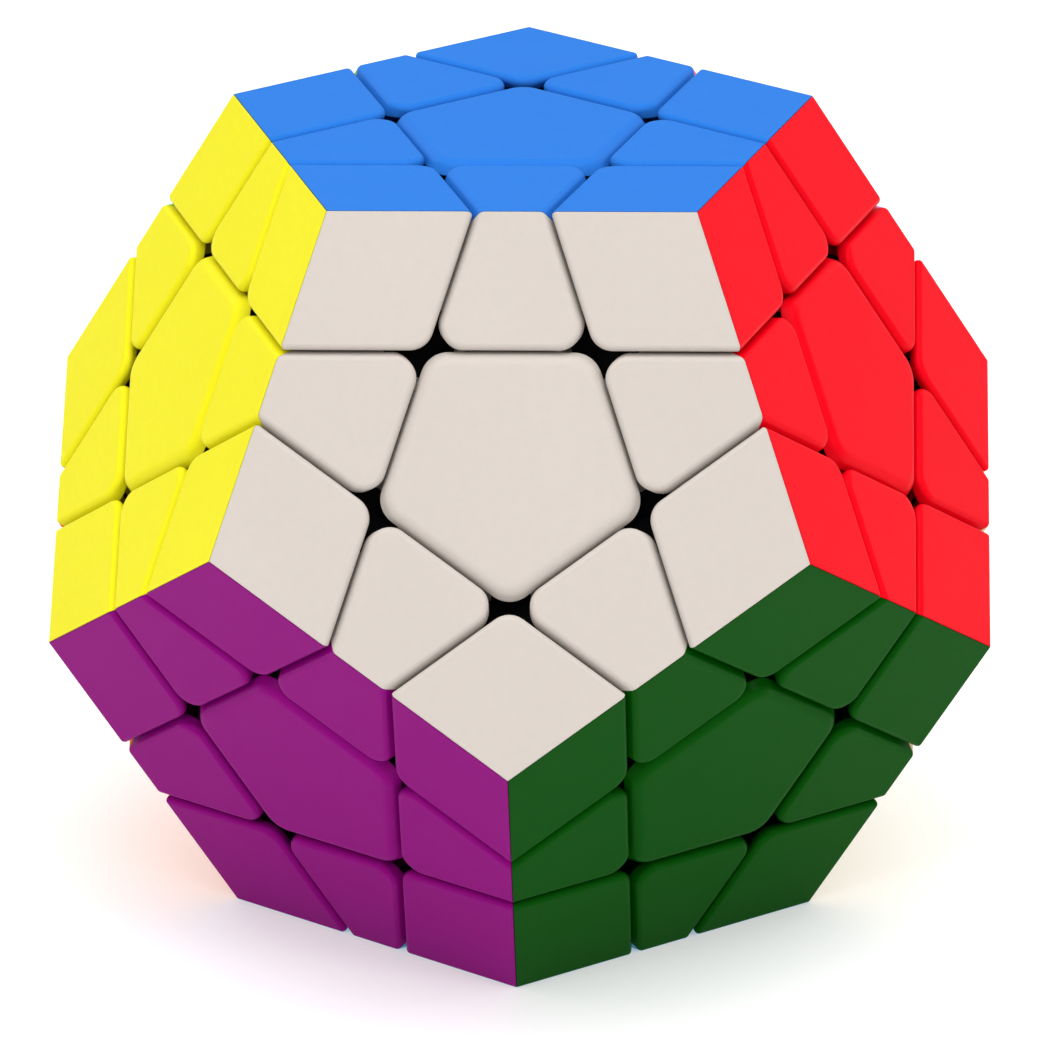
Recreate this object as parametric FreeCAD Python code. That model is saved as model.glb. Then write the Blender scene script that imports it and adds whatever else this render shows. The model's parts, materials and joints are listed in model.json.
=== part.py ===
import FreeCAD, Part
import math
import os

# A twelve-sided twisty puzzle. Every face layer turns about its own axis through the core.
# Millimetres and degrees. +Z is up, and the origin is the centre of the bottom face.

# ---- Driving dimensions -------------------------------------------------------------------
FACE_EDGE = 33.0  # one edge of the dodecahedron
CUT_SHARE = 0.412  # where a cut crosses an edge, as a share of the edge from its corner
GAP = 0.30  # clear space between neighbouring pieces, measured square to their faces
SEAM_GAP = 0.06  # glue line between the solids that make up one piece

# Rounding of the upright corners, which leaves the star-shaped holes, and of the tiles' rims.
CENTRE_ROUNDING = (2.9, 1.3)
EDGE_ROUNDING = (1.7, 0.6)
CORNER_ROUNDING = (2.4, 0.55)
SKIN_RADIUS = 0.25  # rounding along the dodecahedron's own edges

SHELL_TOP = 2.0  # thickness of a coloured shell under its tile
SHELL_WALL = 1.6  # thickness of a coloured shell's side walls
SHELL_DEPTH = 5.2  # how deep the side walls reach
LIP_DEPTH = 1.2  # how deep a shell's rounded corner reaches before it is relieved
RELIEF_RADIUS = 3.6  # relief of the shell about each star-shaped hole

STEM_ANGLE = 41.0  # half angle of the cone that bounds a layer between the two spheres
FOOT_ANGLE = 46.0  # half angle of the wider cone under it, which makes the holding feet
FOOT_TOP = 28.0  # radius of the sphere over the feet
FOOT_BOTTOM = 21.5  # radius of the sphere under the feet

CORE_BALL = 11.0  # radius of the core's ball
ARM_RADIUS = 4.1  # radius of the core's twelve arms
ARM_END = 25.2  # how far an arm reaches from the middle of the core
BORE_RADIUS = 4.6  # bore in a centre that turns on an arm
BORE_END = 25.7
FLOOR_END = 27.8  # top of the centre's floor, which the spring presses on
POCKET_RADIUS = 3.8  # pocket over the floor for the spring and the screw head
OVERCUT = 1.0  # how far the screw's hole runs into the bore and the pocket that it joins
PILOT_START = 12.0  # bottom of the screw's hole in the arm

SCREW_RADIUS = 1.45
SCREW_START = 12.5
SCREW_HOLE_RADIUS = 1.85
HEAD_RADIUS = 2.9
HEAD_START = 32.3
HEAD_END = 34.0
HEAD_CHAMFER = 0.4
SLOT_WIDTH = 0.8
SLOT_LENGTH = 3.4
SLOT_DEPTH = 0.9
WASHER_RADIUS = 3.2
WASHER_START = 31.7
WASHER_END = 32.2
SPRING_START = 28.1
SPRING_END = 31.6
SPRING_RADIUS = 2.4  # middle of the wire
WIRE_RADIUS = 0.3
WIRE_SIDES = 8
SPRING_TURNS = 4.0

# ---- The dodecahedron ---------------------------------------------------------------------
GOLDEN = (1 + math.sqrt(5)) / 2
FACE_TILT = math.degrees(math.atan(2))  # angle between the normals of two faces that touch
INRADIUS = FACE_EDGE * GOLDEN**2 / (2 * math.sqrt(3 - GOLDEN))
CUT_INSET = CUT_SHARE * FACE_EDGE * math.sin(math.radians(72))
CUT_HEIGHT = INRADIUS - CUT_INSET * math.sin(math.radians(FACE_TILT))
HALF_GAP = GAP / 2
FAR = 70.0  # further from the middle than any part of the puzzle
ON_PLANE = 1e-4  # a point this close to a face's plane lies on it
SAME_ANGLE = 0.01  # radians
UP = FreeCAD.Vector(0, 0, 1)
MIDDLE = FreeCAD.Vector(0, 0, 0)
LIFT = FreeCAD.Vector(0, 0, INRADIUS)  # from the bottom face up to the middle

# Name of each face: (tilt from straight up, turn from the front towards the right)
FACES = {"top": (0, 0)}
UPPER_RING = ("front", "right", "back_right", "back_left", "left")
LOWER_RING = ("low_right", "low_back_right", "low_back", "low_back_left", "low_left")
for place, name in enumerate(UPPER_RING):
    FACES[name] = (FACE_TILT, 72 * place)
for place, name in enumerate(LOWER_RING):
    FACES[name] = (180 - FACE_TILT, 36 + 72 * place)
FACES["bottom"] = (180, 0)


def direction(tilt, turn):
    """Unit vector at a tilt from straight up, turned from the front (-Y) towards +X."""
    tilt, turn = math.radians(tilt), math.radians(turn)
    across = math.sin(tilt)
    return FreeCAD.Vector(across * math.sin(turn), -across * math.cos(turn), math.cos(tilt))


NORMALS = {name: direction(*place) for name, place in FACES.items()}


def touch(one, other):
    """True if two faces share an edge."""
    return one != other and abs(NORMALS[one].getAngle(NORMALS[other]) - math.atan(2)) < SAME_ANGLE


def groups(count):
    """Every set of faces that all touch each other: pairs for edges, threes for corners."""
    found = [(name,) for name in FACES]
    for _ in range(count - 1):
        found = [
            group + (name,)
            for group in found
            for name in list(FACES)[list(FACES).index(group[-1]) + 1 :]
            if all(touch(name, member) for member in group)
        ]
    return found


# ---- Building blocks ----------------------------------------------------------------------
def below(normal, distance):
    """Everything on the inner side of a plane square to normal at a distance from the middle."""
    block = Part.makeBox(2 * FAR, 2 * FAR, 2 * FAR, FreeCAD.Vector(-FAR, -FAR, -2 * FAR))
    block.Placement = FreeCAD.Placement(normal * distance, FreeCAD.Rotation(UP, normal))
    return block


def cell(limits):
    """Convex block with every point below each (normal, distance) limit."""
    block = below(*limits[0])
    for limit in limits[1:]:
        block = block.common(below(*limit))
    return block.Solids[0]


def tile_cell(own, near, top_inset, wall_inset):
    """The block of one piece under its tiles, with tops and walls moved inwards."""
    wall = HALF_GAP + wall_inset
    limits = [(NORMALS[name], INRADIUS - top_inset) for name in own]
    limits += [(NORMALS[name], CUT_HEIGHT - wall) for name in near]
    if len(own) == 1:
        limits.append((-NORMALS[own[0]], -CUT_HEIGHT))
    else:
        limits += [(-NORMALS[name], -CUT_HEIGHT - wall) for name in own]
    return cell(limits)


def cone_point(angle, offset, radius):
    """Where a cone about Z, moved square to itself by offset, meets a sphere: (r, z)."""
    angle = math.radians(angle)
    apex = offset / math.sin(angle)
    along = -apex * math.cos(angle) + math.sqrt(radius**2 - (apex * math.sin(angle)) ** 2)
    return along * math.sin(angle), apex + along * math.cos(angle)


def sphere_arc(start, end, radius):
    """Arc about the middle, in the XZ plane, between two (r, z) points."""
    turn = (math.atan2(*start) + math.atan2(*end)) / 2
    middle = FreeCAD.Vector(radius * math.sin(turn), 0, radius * math.cos(turn))
    first, last = (FreeCAD.Vector(r, 0, z) for r, z in (start, end))
    return Part.Arc(first, middle, last).toShape()


def layer(offset):
    """A top face's whole turning layer as a solid of revolution, shrunk by offset."""
    height = CUT_HEIGHT + offset
    stem = math.radians(STEM_ANGLE)
    rim = ((height - offset / math.sin(stem)) * math.tan(stem), height)
    stem_end = cone_point(STEM_ANGLE, offset, FOOT_TOP - offset)
    foot_start = cone_point(FOOT_ANGLE, offset, FOOT_TOP - offset)
    foot_end = cone_point(FOOT_ANGLE, offset, FOOT_BOTTOM + offset)
    axis_end = (0, FOOT_BOTTOM + offset)
    outline = [axis_end, (0, FAR), (FAR, FAR), (FAR, height), rim, stem_end]
    points = [FreeCAD.Vector(r, 0, z) for r, z in outline]
    edges = [Part.makeLine(a, b) for a, b in zip(points, points[1:])]
    edges.append(sphere_arc(stem_end, foot_start, FOOT_TOP - offset))
    first, last = (FreeCAD.Vector(r, 0, z) for r, z in (foot_start, foot_end))
    edges.append(Part.makeLine(first, last))
    edges.append(sphere_arc(foot_end, axis_end, FOOT_BOTTOM + offset))
    return Part.Face(Part.Wire(edges)).revolve(MIDDLE, UP, 360)


def aimed(shape, normal):
    """A copy of a shape made about +Z, turned to point along normal."""
    return shape.transformed(FreeCAD.Placement(MIDDLE, FreeCAD.Rotation(UP, normal)).toMatrix())


def rod(normal, radius, start, end):
    """Cylinder about a face's axis between two distances from the middle."""
    return Part.makeCylinder(radius, end - start, normal * start, normal)


# ---- The three kinds of piece -------------------------------------------------------------
def rounded(block, own):
    """Rounds a piece's upright corners, its rims and its share of the dodecahedron's edges."""

    def is_skin(face):
        flat = isinstance(face.Surface, Part.Plane)
        centre = face.CenterOfMass
        return flat and any(abs(centre.dot(NORMALS[name]) - INRADIUS) < ON_PLANE for name in own)

    def on_skin(point):
        return any(abs(point.dot(NORMALS[name]) - INRADIUS) < ON_PLANE for name in own)

    def edges_with(solid, skins, touching):
        found = []
        for edge in solid.Edges:
            sides = solid.ancestorsOfType(edge, Part.Face)
            ends = sum(on_skin(vertex.Point) for vertex in edge.Vertexes)
            if sum(map(is_skin, sides)) == skins and (not touching or ends == 1):
                found.append(edge)
        return found

    kinds = (CENTRE_ROUNDING, EDGE_ROUNDING, CORNER_ROUNDING)
    upright_radius, rim_radius = kinds[len(own) - 1]
    solid = block.makeFillet(upright_radius, edges_with(block, 0, True))
    solid = solid.makeFillet(rim_radius, edges_with(solid, 1, False))
    seams = edges_with(solid, 2, False)
    return solid.makeFillet(SKIN_RADIUS, seams) if seams else solid


def full_piece(own, near):
    """The whole room of a piece with sharp corners: inside its own layers, outside the others."""
    inside, outside = layer(HALF_GAP), layer(-HALF_GAP)
    solid = cell([(NORMALS[name], INRADIUS) for name in own + near])
    for name in own:
        solid = solid.common(aimed(inside, NORMALS[name]))
    for name in near:
        solid = solid.cut(aimed(outside, NORMALS[name]))
    return solid


def relief(face, walls):
    """Room about one star-shaped hole, under the lip of the shell."""
    normal = NORMALS[face]
    one, other = (NORMALS[name] for name in walls)
    along = one.cross(other).normalize()
    if along.dot(normal) > 0:
        along = -along
    # The hole's axis runs where the two walls' planes meet.
    share = CUT_HEIGHT / (1 + one.dot(other))
    start = (one + other) * share
    start += along * ((INRADIUS - LIP_DEPTH - start.dot(normal)) / along.dot(normal))
    room = Part.makeCylinder(RELIEF_RADIUS, FAR, start - along * FAR / 2, along)
    return room.common(below(normal, INRADIUS - LIP_DEPTH))


def hole_walls(own, near):
    """(face, pair of cut planes) of each star-shaped hole that a piece borders."""
    found = []
    for face in own:
        cuts = [name for name in own + near if touch(name, face)]
        for place, one in enumerate(cuts):
            for other in cuts[place + 1 :]:
                if touch(one, other):
                    found.append((face, (one, other)))
    return found


def piece(own):
    """A piece's black body, then one coloured shell for each of its faces."""
    near = tuple(
        name for name in FACES if name not in own and all(touch(name, face) for face in own)
    )
    full = full_piece(own, near)
    low = full
    for name in own:
        low = low.common(below(NORMALS[name], INRADIUS - SHELL_DEPTH))
    plug = tile_cell(own, near, SHELL_TOP + SEAM_GAP, SHELL_WALL + SEAM_GAP)
    body = low.fuse(plug.common(full)).removeSplitter().Solids[0]

    skin = rounded(tile_cell(own, near, 0, 0), own)
    skin = skin.cut(tile_cell(own, near, SHELL_TOP, SHELL_WALL))
    for face, walls in hole_walls(own, near):
        skin = skin.cut(relief(face, walls))
    shells = []
    for face in own:
        shell = skin.common(below(-NORMALS[face], SHELL_DEPTH - SEAM_GAP - INRADIUS))
        for other in own:
            if other != face:
                split = (NORMALS[other] - NORMALS[face]).normalize()
                shell = shell.common(below(split, -SEAM_GAP / 2))
        shells.append(shell.Solids[0])
    return [body] + shells


def centre_piece():
    """The top centre: its body turns on a core arm, and its cap hides the spring and screw."""
    body, cap = piece(("top",))
    body = body.cut(rod(UP, BORE_RADIUS, 0, BORE_END))
    body = body.cut(rod(UP, SCREW_HOLE_RADIUS, BORE_END - OVERCUT, FLOOR_END + OVERCUT))
    body = body.cut(rod(UP, POCKET_RADIUS, FLOOR_END, INRADIUS))
    return [body, cap]


def frame_of(group):
    """Rotation that carries +Z to a group's first face and the X side to its second."""
    first = NORMALS[group[0]]
    second = NORMALS[group[1]] if len(group) > 1 else neighbour_of(group[0])
    return FreeCAD.Rotation(second, first.cross(second), first, "ZXY")


def neighbour_of(face):
    """Normal of the first face that touches this one."""
    return next(NORMALS[name] for name in FACES if touch(name, face))


def right_handed(group):
    """A group of three faces in the order that runs anticlockwise round their corner."""
    if len(group) < 3:
        return group
    one, two, three = (NORMALS[name] for name in group)
    return group if one.cross(two).dot(three) > 0 else (group[0], group[2], group[1])


def placed(master, master_group, group):
    """Copies of a master piece's solids, turned to another group of faces and lifted."""
    start = frame_of(right_handed(master_group))
    turn = frame_of(right_handed(group)).multiply(start.inverted())
    matrix = FreeCAD.Placement(LIFT, turn).toMatrix()
    return [solid.transformed(matrix) for solid in master]


# ---- The core and what fastens the centres to it ------------------------------------------
def core():
    """A ball with twelve arms, each with a pilot hole for its screw."""
    solid = Part.makeSphere(CORE_BALL)
    for normal in NORMALS.values():
        solid = solid.fuse(rod(normal, ARM_RADIUS, 0, ARM_END))
    for normal in NORMALS.values():
        solid = solid.cut(rod(normal, SCREW_RADIUS + SEAM_GAP, PILOT_START, FAR))
    return [solid.removeSplitter()]


def screw():
    """A pan-headed screw with a crossed slot, along +Z."""
    solid = rod(UP, HEAD_RADIUS, HEAD_START, HEAD_END)
    head_rim = max(solid.Edges, key=lambda edge: edge.CenterOfMass.z)
    solid = solid.makeChamfer(HEAD_CHAMFER, [head_rim])
    for length, width in ((SLOT_LENGTH, SLOT_WIDTH), (SLOT_WIDTH, SLOT_LENGTH)):
        corner = FreeCAD.Vector(-length / 2, -width / 2, HEAD_END - SLOT_DEPTH)
        solid = solid.cut(Part.makeBox(length, width, FAR, corner))
    return solid.fuse(rod(UP, SCREW_RADIUS, SCREW_START, HEAD_START)).removeSplitter()


def washer():
    """The washer between a screw's head and its spring."""
    ring = rod(UP, WASHER_RADIUS, WASHER_START, WASHER_END)
    return ring.cut(rod(UP, SCREW_HOLE_RADIUS, 0, FAR))


def spring():
    """A compression spring round the screw, its wire drawn with flat sides."""
    rise = SPRING_END - SPRING_START - 2 * WIRE_RADIUS
    path = Part.Wire(Part.makeHelix(rise / SPRING_TURNS, rise, SPRING_RADIUS))
    along = FreeCAD.Vector(0, 2 * math.pi * SPRING_RADIUS, rise / SPRING_TURNS).normalize()
    out = FreeCAD.Vector(1, 0, 0)
    corners = []
    for place in range(WIRE_SIDES + 1):
        turn = math.radians(360 * place / WIRE_SIDES)
        side = out * math.cos(turn) + along.cross(out) * math.sin(turn)
        corners.append(out * SPRING_RADIUS + side * WIRE_RADIUS)
    solid = path.makePipeShell([Part.makePolygon(corners)], True, True)
    solid.translate(UP * (SPRING_START + WIRE_RADIUS))
    return solid


def on_every_face(shape):
    """A copy of a shape made about +Z for each of the twelve faces, lifted."""
    copies = [aimed(shape, normal) for normal in NORMALS.values()]
    for copy in copies:
        copy.translate(LIFT)
    return copies


# ---- Every node ---------------------------------------------------------------------------
def nodes():
    """Each node's name with its solids."""
    middle = core()
    middle[0].translate(LIFT)
    found = {
        "core": middle,
        "screws": on_every_face(screw()),
        "springs_and_washers": on_every_face(spring()) + on_every_face(washer()),
    }
    masters = {
        1: (("top",), centre_piece()),
        2: (("top", "front"), piece(("top", "front"))),
        3: (("top", "front", "right"), piece(("top", "front", "right"))),
    }
    for count, kind in ((1, "centre_"), (2, "edge_"), (3, "corner_")):
        group, master = masters[count]
        for own in groups(count):
            found[kind + "-".join(own)] = placed(master, group, own)
    # Each bottom corner rides with the edge beside it, so the two share a node.
    for own in groups(3):
        if "bottom" in own:
            corner = found.pop("corner_" + "-".join(own))
            edge = found.pop("edge_" + "-".join(own[:2]))
            found["edge_and_corner_" + "-".join(own)] = edge + corner
    return found


def main():
    os.makedirs("parts", exist_ok=True)
    for name, solids in nodes().items():
        Part.makeCompound(solids).exportStep("parts/" + name + ".step")


main()
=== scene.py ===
import json
import math

import bpy
import numpy as np
from mathutils import Matrix, Vector

# A twelve-sided twisty puzzle in a plain studio: plastics, steel, light, floor and camera.
# Metres and degrees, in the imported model's own frame.
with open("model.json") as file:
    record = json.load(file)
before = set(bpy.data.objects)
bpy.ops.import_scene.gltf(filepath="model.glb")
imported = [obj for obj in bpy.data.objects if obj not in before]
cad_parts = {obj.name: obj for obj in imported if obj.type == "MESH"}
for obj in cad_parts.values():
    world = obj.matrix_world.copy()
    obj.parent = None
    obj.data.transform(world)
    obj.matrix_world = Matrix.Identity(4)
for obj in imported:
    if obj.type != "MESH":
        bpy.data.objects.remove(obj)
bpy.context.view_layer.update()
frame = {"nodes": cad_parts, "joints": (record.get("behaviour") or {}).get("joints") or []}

# ---- The faces ----------------------------------------------------------------------------
# Linear colour of each face's plastic. The six faces that the camera sees come first. Each of
# the others has the usual partner of the colour opposite it, such as grey opposite bone.
FACE_COLOURS = {
    "front": (0.483, 0.436, 0.398),
    "top": (0.019, 0.152, 0.545),
    "left": (0.705, 0.65, 0.010),
    "right": (0.73, 0.001, 0.009),
    "low_left": (0.225, 0.0015, 0.165),
    "low_right": (0.001, 0.064, 0.001),
    "back_right": (0.72, 0.20, 0.37),
    "back_left": (0.21, 0.52, 0.03),
    "low_back_right": (0.69, 0.59, 0.34),
    "low_back": (0.17, 0.18, 0.195),
    "low_back_left": (0.74, 0.17, 0.010),
    "bottom": (0.125, 0.44, 0.67),
}
TURN = "turn_"
TOUCHING = 1e-5  # a shell's tile lies this close to its face's plane
SAME_POINT = 1e-6  # vertices closer than this are one corner of the CAD solid
SHARP_ANGLE = 32  # an edge that bends more than this is shaded as sharp
THIN = 0.0004  # on average a washer's points lie nearer than this to its middle plane
LARGEST_FIRST = 100  # the largest face at a corner decides how the corner is shaded

turns = [joint for joint in frame["joints"] if joint["name"].startswith(TURN)]
MIDDLE = Vector(turns[0]["pos_m"])
INRADIUS = MIDDLE.z
NORMALS = {joint["name"][len(TURN):]: Vector(joint["axis"]) for joint in turns}
NORMALS["bottom"] = Vector((0, 0, -1))


# ---- Materials ----------------------------------------------------------------------------
# About how many features each texture has to the metre, from coarse to fine.
FLOW_MARKS = 45
MOULD_WAVES = 90
POLISH_PATCHES = 260
PLATING_PATCHES = 900
SPECKLES = 1400
DRAWN_LINES = 2600
SATIN_GRAIN = 4200
# Depths of the relief, in metres.
WAVE_DEPTH = 6e-6
PLATING_DEPTH = 3e-6
LINE_DEPTH = 4e-6
# How dark the marks are, as shares of the colour round them, and how strongly they show.
SPECKLE_SHADE, SPECKLE_STRENGTH = 0.93, 0.35
PLATING_SHADE = 0.82
LINE_SHADE, LINE_STRENGTH = 0.7, 0.4

NOISE_RANGE = (0.3, 0.7)  # nearly all of a noise texture's values lie between these
# Far below real plastic's 0.5, because the light from all sides would wash the colours out.
PLASTIC_SHINE = 0.025
WHITE = (1.0, 1.0, 1.0, 1.0)


class Shader:
    """A node material built in object coordinates, so its texture rides with the piece."""

    def __init__(self, name):
        self.material = bpy.data.materials.new(name)
        self.material.use_nodes = True
        self.tree = self.material.node_tree
        self.surface = self.tree.nodes["Principled BSDF"]
        self.place = self.add("ShaderNodeTexCoord").outputs["Object"]

    def add(self, kind, **settings):
        node = self.tree.nodes.new(kind)
        for key, value in settings.items():
            setattr(node, key, value)
        return node

    def link(self, output, target):
        self.tree.links.new(output, target)

    def noise(self, per_metre, detail, stretch=(1, 1, 1)):
        """Noise with about per_metre features to the metre."""
        spread = self.add("ShaderNodeMapping")
        spread.inputs["Scale"].default_value = stretch
        self.link(self.place, spread.inputs["Vector"])
        node = self.add("ShaderNodeTexNoise")
        node.inputs["Scale"].default_value = per_metre
        node.inputs["Detail"].default_value = detail
        self.link(spread.outputs["Vector"], node.inputs["Vector"])
        return node.outputs["Fac"]

    def cells(self, per_metre):
        """Rounded patches, about per_metre of them to the metre, each darkest at its middle."""
        node = self.add("ShaderNodeTexVoronoi")
        node.inputs["Scale"].default_value = per_metre
        self.link(self.place, node.inputs["Vector"])
        return node.outputs["Distance"]

    def spread_over(self, factor, low, high):
        """A factor's usual range, stretched from low to high and cut off beyond them."""
        node = self.add("ShaderNodeMapRange")
        node.inputs["From Min"].default_value, node.inputs["From Max"].default_value = NOISE_RANGE
        node.inputs["To Min"].default_value = low
        node.inputs["To Max"].default_value = high
        self.link(factor, node.inputs["Value"])
        return node.outputs["Result"]

    def blend(self, factor, one, other):
        """Colour one where the factor is 0, the other where it is 1."""
        node = self.add("ShaderNodeMix", data_type="RGBA")
        for socket, value in (("Factor", factor), ("A", one), ("B", other)):
            slot = next(s for s in node.inputs if s.name == socket and s.enabled)
            if isinstance(value, bpy.types.NodeSocket):
                self.link(value, slot)
            else:
                slot.default_value = (*value, 1.0)
        return next(s for s in node.outputs if s.enabled)

    def bumps(self, *layers):
        """Surface relief: (height factor, depth in metres) from coarse to fine."""
        normal = None
        for height, depth in layers:
            node = self.add("ShaderNodeBump")
            node.inputs["Strength"].default_value = 1.0
            node.inputs["Distance"].default_value = depth
            self.link(height, node.inputs["Height"])
            if normal:
                self.link(normal, node.inputs["Normal"])
            normal = node.outputs["Normal"]
        self.link(normal, self.surface.inputs["Normal"])


def shade(colour, factor):
    return tuple(channel * factor for channel in colour)


def plastic(name, colour, gloss=(0.28, 0.38), mottle=0.05, grain=6e-6):
    """Moulded plastic with a fine satin grain, faint flow marks and slightly uneven gloss."""
    shader = Shader(name)
    flow = shader.noise(FLOW_MARKS, detail=2.0, stretch=(1, 1, 0.6))
    speckle = shader.noise(SPECKLES, detail=2.0)
    base = shader.blend(flow, shade(colour, 1 - mottle), shade(colour, 1 + mottle / 2))
    marks = shader.spread_over(speckle, 0.0, SPECKLE_STRENGTH)
    base = shader.blend(marks, base, shade(colour, SPECKLE_SHADE))
    shader.link(base, shader.surface.inputs["Base Color"])
    polish = shader.noise(POLISH_PATCHES, detail=4.0)
    shader.link(shader.spread_over(polish, *gloss), shader.surface.inputs["Roughness"])
    shader.surface.inputs["Specular IOR Level"].default_value = PLASTIC_SHINE
    waves = shader.noise(MOULD_WAVES, detail=1.0)
    satin = shader.noise(SATIN_GRAIN, detail=2.0)
    shader.bumps((waves, WAVE_DEPTH), (satin, grain))
    return shader.material


def steel(name, colour, gloss, line_stretch):
    """Plated steel: patchy plating, drawn lines along one way and a worn, uneven gloss."""
    shader = Shader(name)
    patches = shader.cells(PLATING_PATCHES)
    lines = shader.noise(DRAWN_LINES, detail=4.0, stretch=line_stretch)
    plating = shader.spread_over(patches, 0.0, 1.0)
    base = shader.blend(plating, shade(colour, PLATING_SHADE), colour)
    marks = shader.spread_over(lines, 0.0, LINE_STRENGTH)
    base = shader.blend(marks, base, shade(colour, LINE_SHADE))
    shader.link(base, shader.surface.inputs["Base Color"])
    shader.surface.inputs["Metallic"].default_value = 1.0
    shader.link(shader.spread_over(lines, *gloss), shader.surface.inputs["Roughness"])
    shader.bumps((patches, PLATING_DEPTH), (lines, LINE_DEPTH))
    return shader.material


FACE_PLASTIC = {face: plastic(f"{face}_plastic", c) for face, c in FACE_COLOURS.items()}
BLACK = plastic("black_nylon", (0.011, 0.011, 0.012), gloss=(0.5, 0.68), mottle=0.2, grain=1.4e-5)
ZINC = steel("zinc_plated_steel", (0.66, 0.65, 0.62), gloss=(0.22, 0.42), line_stretch=(1, 1, 8))
SPRING = steel("spring_steel", (0.46, 0.46, 0.48), gloss=(0.18, 0.34), line_stretch=(1, 1, 0.2))
WASHER = steel("washer_steel", (0.58, 0.57, 0.53), gloss=(0.28, 0.5), line_stretch=(6, 6, 1))


# ---- Dressing the CAD nodes ---------------------------------------------------------------
def solids_of(mesh):
    """A mesh's vertex positions and, for each vertex, the number of the solid it is part of."""
    points = np.zeros(len(mesh.vertices) * 3)
    mesh.vertices.foreach_get("co", points)
    points = points.reshape(-1, 3)
    _, corner = np.unique(np.round(points / SAME_POINT).astype(np.int64), axis=0, return_inverse=True)
    corner = corner.reshape(-1)
    ends = np.zeros(len(mesh.edges) * 2, np.int64)
    mesh.edges.foreach_get("vertices", ends)
    one, other = corner[ends.reshape(-1, 2)].T
    label = np.arange(corner.max() + 1)
    while True:
        lowest = label.copy()
        np.minimum.at(lowest, one, label[other])
        np.minimum.at(lowest, other, label[one])
        lowest = lowest[lowest]
        if np.array_equal(lowest, label):
            break
        label = lowest
    _, solid = np.unique(label[corner], return_inverse=True)
    return points, solid.reshape(-1)


def face_of(points):
    """The face whose plane these points reach, or None for a solid that stays inside."""
    for face, normal in NORMALS.items():
        if ((points - np.array(MIDDLE)) @ np.array(normal)).max() > INRADIUS - TOUCHING:
            return face
    return None


def soften(piece):
    """Smooth shading over the roundings, with true flats between them."""
    piece.data.polygons.foreach_set("use_smooth", [True] * len(piece.data.polygons))
    weld = piece.modifiers.new("one_skin", "WELD")
    weld.merge_threshold = SAME_POINT
    split = piece.modifiers.new("sharp_edges", "EDGE_SPLIT")
    split.split_angle = math.radians(SHARP_ANGLE)
    split.use_edge_sharp = False
    flats = piece.modifiers.new("true_flats", "WEIGHTED_NORMAL")
    flats.weight = LARGEST_FIRST


def dress(piece, material_for):
    """Give each solid of a CAD node the material that material_for(its points) names."""
    mesh = piece.data
    points, solid = solids_of(mesh)
    chosen = [material_for(points[solid == number]) for number in range(solid.max() + 1)]
    used = list(dict.fromkeys(chosen))
    mesh.materials.clear()
    for material in used:
        mesh.materials.append(material)
    first = np.zeros(len(mesh.polygons), np.int64)
    mesh.polygons.foreach_get("loop_start", first)
    vertex = np.zeros(len(mesh.loops), np.int64)
    mesh.loops.foreach_get("vertex_index", vertex)
    slots = np.array([used.index(material) for material in chosen])
    mesh.polygons.foreach_set("material_index", slots[solid[vertex[first]]].astype(np.int32))
    mesh.update()
    soften(piece)


def plastic_for(points):
    face = face_of(points)
    return FACE_PLASTIC[face] if face else BLACK


def spring_or_washer(points):
    """A washer is a thin flat ring, so its points fill far less depth than a spring's."""
    spread = np.linalg.svd(points - points.mean(0), compute_uv=False) / math.sqrt(len(points))
    return WASHER if spread[2] < THIN else SPRING


INSIDE = {
    "core": lambda points: BLACK,
    "screws": lambda points: ZINC,
    "springs_and_washers": spring_or_washer,
}
for name, piece in frame["nodes"].items():
    dress(piece, INSIDE.get(name, plastic_for))


# ---- Floor, light and camera --------------------------------------------------------------
FLOOR_SIZE = 8.0
FLOOR_DROP = 5e-5  # keeps the floor clear of the bottom face
FLOOR_GREY = (0.75, 0.75, 0.75, 1.0)
FLOOR_GLOW = 0.3  # light of the floor's own, which keeps the shadows on it faint
FLOOR_ROUGHNESS = 0.7
FLOOR_SHINE = 0.2
LIGHTS = (
    # name, position from the middle, side of the softbox, power in watts
    ("overhead", (0.0, -0.25, 0.95), 1.1, 12.0),
    ("key", (-0.55, -0.75, 0.55), 0.22, 2.0),
    ("fill", (0.75, -0.60, 0.45), 0.22, 1.7),
    ("rear_left", (-0.70, 0.75, 0.50), 0.8, 1.6),
    ("rear_right", (0.75, 0.70, 0.50), 0.8, 1.6),
)
WORLD_STRENGTH = 0.5

CAMERA_TURN = 1.97  # degrees round from the front towards the right
CAMERA_RISE = 21.9  # degrees above level
CAMERA_DISTANCE = 0.85
CAMERA_ROLL = -0.48
CAMERA_LENS = 318.4  # millimetres, like the sensor's width
CAMERA_SENSOR = 36.0
CAMERA_REACH = (0.01, 100.0)  # nearest and farthest point that it sees
AIM_RIGHT = -0.00042  # the view's middle, from the puzzle's middle, square to the line of sight
AIM_UP = -0.0017


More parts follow.
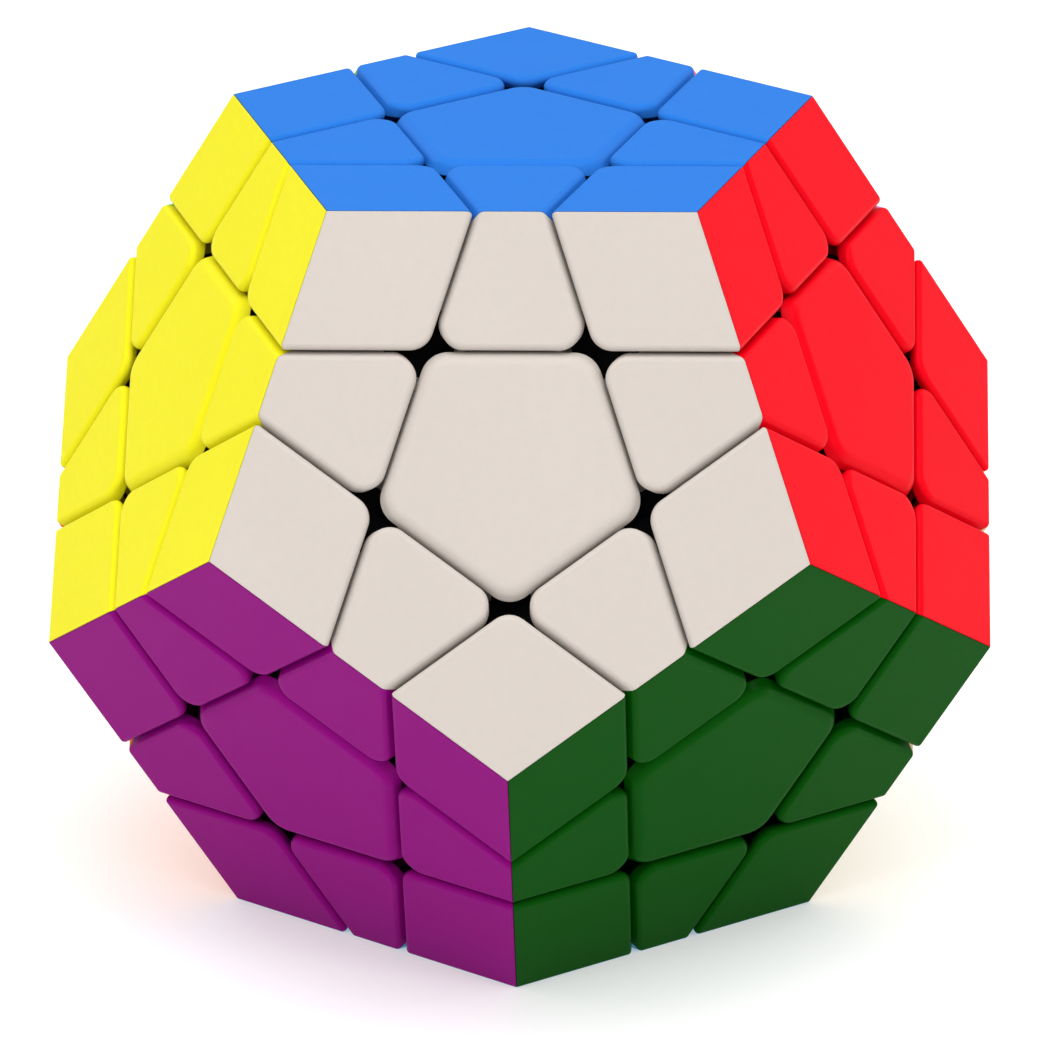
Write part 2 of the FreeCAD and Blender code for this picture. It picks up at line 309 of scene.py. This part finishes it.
def pale_floor():
    half = FLOOR_SIZE / 2
    outline = ((-half, -half), (half, -half), (half, half), (-half, half))
    corners = [(x, y, -FLOOR_DROP) for x, y in outline]
    mesh = bpy.data.meshes.new("floor")
    mesh.from_pydata(corners, [], [(0, 1, 2, 3)])
    floor = bpy.data.objects.new("floor", mesh)
    bpy.context.scene.collection.objects.link(floor)
    shader = Shader("pale_floor")
    shader.surface.inputs["Base Color"].default_value = FLOOR_GREY
    shader.surface.inputs["Emission Color"].default_value = WHITE
    shader.surface.inputs["Emission Strength"].default_value = FLOOR_GLOW
    shader.surface.inputs["Roughness"].default_value = FLOOR_ROUGHNESS
    shader.surface.inputs["Specular IOR Level"].default_value = FLOOR_SHINE
    mesh.materials.append(shader.material)


def pointing(offset):
    """Rotation of a light or camera that looks back from this offset."""
    return (-Vector(offset)).to_track_quat("-Z", "Y").to_matrix().to_4x4()


def softbox(name, offset, side, power):
    """A square area light that faces the puzzle's middle."""
    light = bpy.data.lights.new(name, "AREA")
    light.shape = "SQUARE"
    light.size = side
    light.energy = power
    lamp = bpy.data.objects.new(name, light)
    lamp.matrix_world = Matrix.Translation(MIDDLE + Vector(offset)) @ pointing(offset)
    bpy.context.scene.collection.objects.link(lamp)


def studio_world():
    world = bpy.data.worlds.new("studio")
    world.use_nodes = True
    background = world.node_tree.nodes["Background"]
    background.inputs["Color"].default_value = WHITE
    background.inputs["Strength"].default_value = WORLD_STRENGTH
    bpy.context.scene.world = world


def camera():
    turn, rise = math.radians(CAMERA_TURN), math.radians(CAMERA_RISE)
    out = Vector((math.cos(rise) * math.sin(turn), -math.cos(rise) * math.cos(turn), math.sin(rise)))
    facing = pointing(out)
    right, up = facing.col[0].to_3d(), facing.col[1].to_3d()
    aim = MIDDLE + right * AIM_RIGHT + up * AIM_UP
    lens = bpy.data.cameras.new("camera")
    lens.lens = CAMERA_LENS
    lens.sensor_width = CAMERA_SENSOR
    lens.clip_start, lens.clip_end = CAMERA_REACH
    eye = bpy.data.objects.new("camera", lens)
    roll = Matrix.Rotation(math.radians(CAMERA_ROLL), 4, "Z")
    eye.matrix_world = Matrix.Translation(aim + out * CAMERA_DISTANCE) @ facing @ roll
    bpy.context.scene.collection.objects.link(eye)
    bpy.context.scene.camera = eye


pale_floor()
studio_world()
for light in LIGHTS:
    softbox(*light)
camera()
bpy.context.scene.view_settings.view_transform = "Standard"
